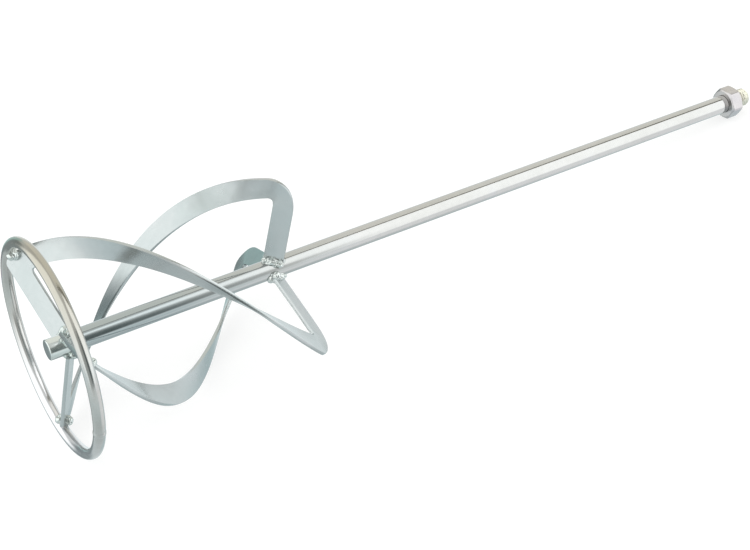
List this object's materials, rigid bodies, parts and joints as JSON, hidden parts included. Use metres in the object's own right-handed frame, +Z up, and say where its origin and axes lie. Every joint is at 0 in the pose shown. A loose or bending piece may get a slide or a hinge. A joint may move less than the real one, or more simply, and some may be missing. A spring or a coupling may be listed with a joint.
{
  "type": "mixing paddle",
  "caption": "Mortar mixing paddle: twisted strip blades and a foot ring welded to a round shaft with a threaded end and a hexagon nut.",
  "frame": {"origin": "on the shaft's axis at the hexagon nut's outer face, where the machine's spindle seats", "axes": "+X along the shaft, out of the threaded end; +Z up, with the first blade's foot arm pointing down; +Y completes the right-handed set"},
  "size_m": [0.5912, 0.148, 0.148],
  "materials": {
    "shaft_zinc": "bright zinc plate, glossy, drawn lengthwise",
    "ring_zinc": "bright zinc plate with warm tints",
    "blade_zinc": "satin zinc plate, faintly blue",
    "nut_zinc": "zinc plate",
    "weld_metal": "rippled weld bead, zinc plated"
  },
  "bodies": {
    "root": {"shaft": "shaft_zinc", "hex_nut": "nut_zinc", "ring": "ring_zinc", "ring_seam_weld": "weld_metal", "blade_1": "blade_zinc", "foot_weld_1_lead": "weld_metal", "foot_weld_1_trail": "weld_metal", "top_weld_1_lead": "weld_metal", "top_weld_1_trail": "weld_metal", "ring_weld_1": "weld_metal", "blade_2": "blade_zinc", "foot_weld_2_lead": "weld_metal", "foot_weld_2_trail": "weld_metal", "top_weld_2_lead": "weld_metal", "top_weld_2_trail": "weld_metal", "ring_weld_2": "weld_metal", "blade_3": "blade_zinc", "foot_weld_3_lead": "weld_metal", "foot_weld_3_trail": "weld_metal", "top_weld_3_lead": "weld_metal", "top_weld_3_trail": "weld_metal", "ring_weld_3": "weld_metal"}
  },
  "joints": []
}
